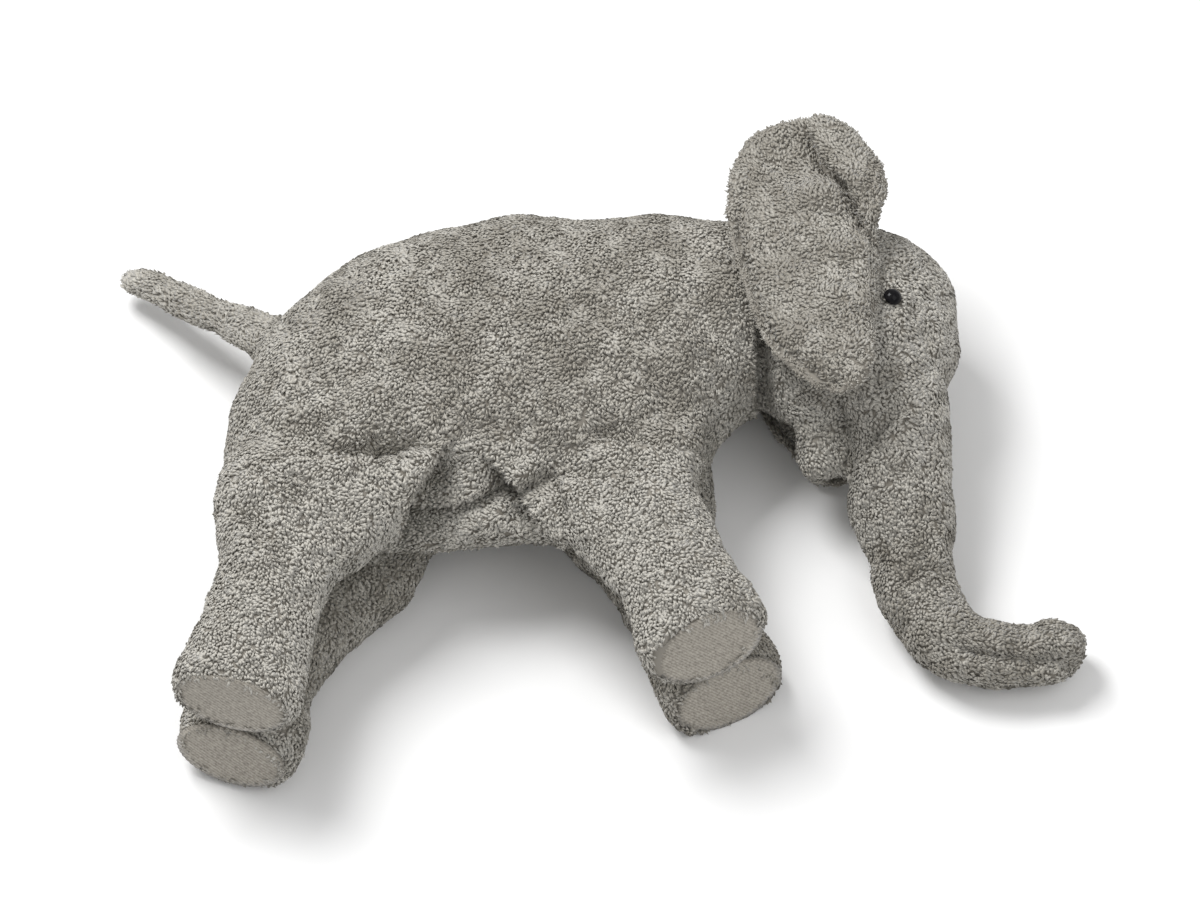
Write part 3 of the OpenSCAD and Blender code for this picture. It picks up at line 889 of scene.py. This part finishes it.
for leg, (turn, middle, run) in LEGS.items():
    hip = joint_place(f"leg_{leg}_swing")
    along = Vector((math.cos(turn), math.sin(turn), 0))
    foot_end = run[-1][0]
    foot_middle = middle + run[-1][4]

    def at_sole(points):
        reached = (points[:, :2] - np.array(hip.xy)) @ np.array(along.xy)
        reached += FOOT_SLANT[leg] * (points[:, 2] - foot_middle) + FOOT_DRAWN_BACK[leg]
        return reached > foot_end - 2.2

    chosen = part_of == f"leg_{leg}"
    cover = plush_piece(f"leg_{leg}", skin, chosen, comb=tuple(along * 0.8), bare=at_sole)
    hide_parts(f"leg_{leg}_cover", f"leg_{leg}_stuffing")
    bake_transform(cover, "torso", f"leg_{leg}", start=(hip + along * LEG_CUT) * MM,
             end=(hip + along * (LEG_CUT + HIP_GIVE)) * MM)
    sole(leg)

# ---- Head -----------------------------------------------------------------------------------
# A filled head of two plush side panels that meet along the forehead, sewn on at the neck, which
# bends. A small filled lip of the same plush hangs below the trunk's root.
on_head = part_of == "head"
NECK_GIVE = 34
NECK_MIDDLE = Vector((NECK_CUT, 80, 50))
EYE_HOLE = 4.6


def at_eyes(points):
    return np.hypot(points[:, 0] - EYE.x, points[:, 1] - EYE.y) < EYE_HOLE


for side, chosen in (("left", mz > HEAD_Z), ("right", mz <= HEAD_Z)):
    cheek = plush_piece(f"head_{side}", skin, on_head & chosen, comb=(0.5, -0.5, 0), bare=at_eyes)
    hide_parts(f"head_{side}_panel")
    if side == "left":
        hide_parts("head_stuffing")
    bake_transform(cheek, "torso", "head", start=NECK_MIDDLE * MM,
             end=(NECK_MIDDLE + Vector((NECK_GIVE, 0, 0))) * MM)
lip = plush_piece("lip", skin, part_of == "lower_lip", comb=(0, -1, 0))
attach(lip, "head")
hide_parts("lower_lip")

# ---- Eyes -----------------------------------------------------------------------------------
# Black safety eyes: a glossy moulded dome on a stem, pushed through the cloth and held inside
# the head by a pressed-on washer of pale plastic.
EYE_BLACK = (0.005, 0.005, 0.006, 1)
EYE_SCUFFED = (0.012, 0.011, 0.012, 1)
WASHER_PALE = (0.78, 0.77, 0.73, 1)
WASHER_DULL = (0.66, 0.65, 0.6, 1)


def moulded_plastic(name, first, second, roughness, shine, mottle):
    """Moulded plastic with fine scuffs: a colour that drifts and a faint uneven surface."""
    made = bpy.data.materials.new(name)
    made.use_nodes = True
    nodes, links = made.node_tree.nodes, made.node_tree.links
    shader = nodes["Principled BSDF"]
    shader.inputs["Roughness"].default_value = roughness
    shader.inputs["Specular IOR Level"].default_value = shine
    where = nodes.new("ShaderNodeTexCoord")
    scuffs = nodes.new("ShaderNodeTexNoise")
    scuffs.inputs["Scale"].default_value = mottle
    scuffs.inputs["Detail"].default_value = 5
    colour = nodes.new("ShaderNodeValToRGB")
    colour.color_ramp.elements[0].color = first
    colour.color_ramp.elements[0].position = 0.35
    colour.color_ramp.elements[1].color = second
    colour.color_ramp.elements[1].position = 0.7
    relief = nodes.new("ShaderNodeBump")
    relief.inputs["Strength"].default_value = 0.12
    relief.inputs["Distance"].default_value = 0.1 * MM
    links.new(where.outputs["Object"], scuffs.inputs["Vector"])
    links.new(scuffs.outputs["Fac"], colour.inputs["Fac"])
    links.new(colour.outputs["Color"], shader.inputs["Base Color"])
    links.new(scuffs.outputs["Fac"], relief.inputs["Height"])
    links.new(relief.outputs["Normal"], shader.inputs["Normal"])
    return made


eye_black = moulded_plastic("eye_plastic", EYE_BLACK, EYE_SCUFFED, 0.12, 0.12, 700)
washer_white = moulded_plastic("washer_plastic", WASHER_PALE, WASHER_DULL, 0.5, 0.4, 400)
for side in ("left", "right"):
    for node, material in ((f"eye_{side}", eye_black), (f"eye_washer_{side}", washer_white)):
        frame["nodes"][node].data.materials.clear()
        frame["nodes"][node].data.materials.append(material)

# ---- Trunk ----------------------------------------------------------------------------------
# A filled plush tube of a side panel and an under panel, bent forward near its end. It hangs from
# the head, and gives at its root and at the bend.
TRUNK_GIVE = 36
TIP_GIVE = 20
tip_way = Vector((math.cos(TIP_TURN), math.sin(TIP_TURN), 0))
trunk = plush_piece("trunk", skin, part_of == "trunk", comb=(0.2, -0.9, 0))
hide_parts("trunk_side_panel", "trunk_under_panel", "trunk_stuffing")
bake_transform(trunk, "head", "trunk", start=Vector((149, TRUNK_CUT, 40)) * MM,
         end=Vector((149, TRUNK_CUT - TRUNK_GIVE, 40)) * MM)
tip = plush_piece("trunk_tip", skin, part_of == "trunk_tip", comb=(0.9, -0.3, 0))
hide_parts("trunk_tip_side_panel", "trunk_tip_under_panel", "trunk_tip_stuffing")
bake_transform(tip, "trunk", "trunk_tip", start=curl * MM, end=(curl + tip_way * TIP_GIVE) * MM)

# ---- Tail -----------------------------------------------------------------------------------
# A thin filled tube of the same plush, sewn closed at its end and set into the seam of the rump.
TAIL_GIVE = 22
tail_way = Vector((math.cos(TAIL_TURN), math.sin(TAIL_TURN), 0))
tail = plush_piece("tail", skin, part_of == "tail", comb=(-0.9, 0.6, 0))
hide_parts("tail_cover", "tail_stuffing")
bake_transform(tail, "torso", "tail", start=(tail_hip + tail_way * TAIL_CUT) * MM,
         end=(tail_hip + tail_way * (TAIL_CUT + TAIL_GIVE)) * MM)

# ---- Ears -----------------------------------------------------------------------------------
# Big flat flaps of two plush layers with a thin wadding between, turned and sewn round a little
# inside the rim. Each is sewn to the head along its front edge. The left one falls over the neck
# with a pleat in it, and the right one lies flat under the cheek.
EAR_HEIGHT = {"left": 104, "right": 8}
EAR_ROOT = {"left": 139, "right": 135}
ROOT_GIVE = 16
HALF_THICK = 2.2
RIM_SEAM = 5.5
EAR_OUTLINE = [
    (62.5, 121), (63, 129.5), (66, 140), (70, 149.5), (74, 156), (79.5, 160), (85, 163), (91.5, 165),
    (98, 166.5), (105.5, 167), (112, 165.5), (119, 163.5), (124, 160), (129, 155.5), (133, 151),
    (137, 145.5), (141, 138), (143, 129.5), (143.5, 118), (141.5, 109), (140.5, 100), (140, 88), (139, 70),
    (137, 50), (136, 35), (135, 23), (131, 16.5), (126, 12), (119, 10), (112, 10.5), (105.5, 13.5),
    (98, 19), (92.5, 24.5), (86, 30), (82.5, 35), (79, 42), (76.5, 49), (74, 56), (72, 64.5), (69, 75),
    (66, 86.5), (64, 96), (63, 104), (62.3, 112),
]
PLEAT = [(110, 156), (112, 148), (116, 137), (123, 128), (129, 120), (133, 110), (136, 97)]


def from_rim(points):
    return line_distance(points, EAR_OUTLINE + EAR_OUTLINE[:1])[0]


def at_ear_seam(points):
    return (abs(from_rim(points * MM) - RIM_SEAM) < 1.4) & (points[:, 0] < 112) & (points[:, 1] < 112)


def near_rim(points):
    full = step_between(0.5, 5, from_rim(points * MM))
    return 0.5 + 0.45 * full + 0.1 * ripple(points * MM, 5, 41)


def hill(x, y, middle_x, middle_y, wide, deep):
    return np.exp(-(((x - middle_x) / wide) ** 2 + ((y - middle_y) / deep) ** 2))


def ear_folds(points, x, y):
    """How far the left ear is lifted by its pleat, its dishes and its root, and drawn to the left."""
    crease, where, _ = line_distance(points, PLEAT)
    upper = step_between(92, 104, y)
    folded_over = where > 0
    over = 11 * np.exp(-((crease / 16) ** 2))
    under_fold = -10 * np.exp(-((crease / 7) ** 2))
    lift = np.where(folded_over, over, under_fold) * upper
    drawn = np.where(folded_over, 5 * np.exp(-((crease / 9) ** 2)), 0) * upper
    x = x - drawn
    lift += -9 * hill(x, y, 96, 138, 17, 17)
    lift += 7 * hill(x, y, 108, 120, 12, 9)
    lift += -2.0 * hill(x, y, 100, 78, 26, 34)
    lift += -4 * step_between(30, 8, y)
    lift -= 4.5 * step_between(3, 13, lift)
    lift -= 9 * step_between(129, 140, x) * step_between(38, 52, y) * step_between(116, 102, y)
    return lift, x


def ear_flap(side):
    height = EAR_HEIGHT[side]
    made = bmesh.new()
    rim = [made.verts.new((x * MM, y * MM, -HALF_THICK * MM)) for x, y in EAR_OUTLINE]
    for a, b in zip(rim, rim[1:] + rim[:1]):
        made.edges.new((a, b))
    face = bmesh.ops.contextual_create(made, geom=made.edges[:])["faces"]
    raised = bmesh.ops.extrude_face_region(made, geom=face)["geom"]
    bmesh.ops.translate(made, verts=[v for v in raised if isinstance(v, bmesh.types.BMVert)],
                        vec=(0, 0, 2 * HALF_THICK * MM))
    bmesh.ops.recalc_face_normals(made, faces=made.faces)
    flap = as_object(f"ear_{side}", made)
    make_one_cloth(flap, 2.6, 2)
    away = from_rim(points_of(flap.data))
    fill_with_wadding(flap, away < 1.5, WADDING_SWELL)
    points = points_of(flap.data)
    x, y, z = points.T / MM
    puff = np.sqrt(np.clip(away / 12, 0, 1))
    z = z * (0.6 + 0.9 * puff)
    lift = np.zeros(len(points))
    if side == "left":
        lift, x = ear_folds(points, x, y)
    groove = -6 * np.exp(-(((away - RIM_SEAM) / 2) ** 2)) * (z > 0) * (x < 120)
    groove *= step_between(122, 106, y)
    if side == "right":
        x = x + 9 * step_between(80, 20, y) * step_between(112, 84, x)
    points[:, 0] = x * MM
    points[:, 2] = (z + lift + groove + height + 0.7 * ripple(points, 18, 7)) * MM
    put_points(flap.data, points)
    count = len(flap.data.polygons)
    up = np.empty(count * 3, np.float32)
    flap.data.polygons.foreach_get("normal", up)
    facing_up = up.reshape(-1, 3)[:, 2] > 0
    for layer, chosen in (("outer", facing_up if side == "left" else ~facing_up),
                          ("inner", ~facing_up if side == "left" else facing_up)):
        name = f"ear_{side}_{layer}_cloth"
        panel = plush_piece(name, flap, chosen, (-0.4, 0.3, 0), at_ear_seam, near_rim)
        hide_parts(f"ear_{side}_{layer}")
        if layer == "outer":
            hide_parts(f"ear_{side}_wadding")
        root = EAR_ROOT[side]
        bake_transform(panel, "head", f"ear_{side}", start=Vector((root, 85, height)) * MM,
                 end=Vector((root - ROOT_GIVE, 85, height)) * MM)
    bpy.data.objects.remove(flap)


ear_flap("left")
ear_flap("right")

# ---- Finish ---------------------------------------------------------------------------------
bpy.data.objects.remove(skin)
for lock in list(locks.objects):
    bpy.data.objects.remove(lock)
bpy.data.collections.remove(locks)
bpy.data.node_groups.remove(pile_nodes)
low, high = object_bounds()
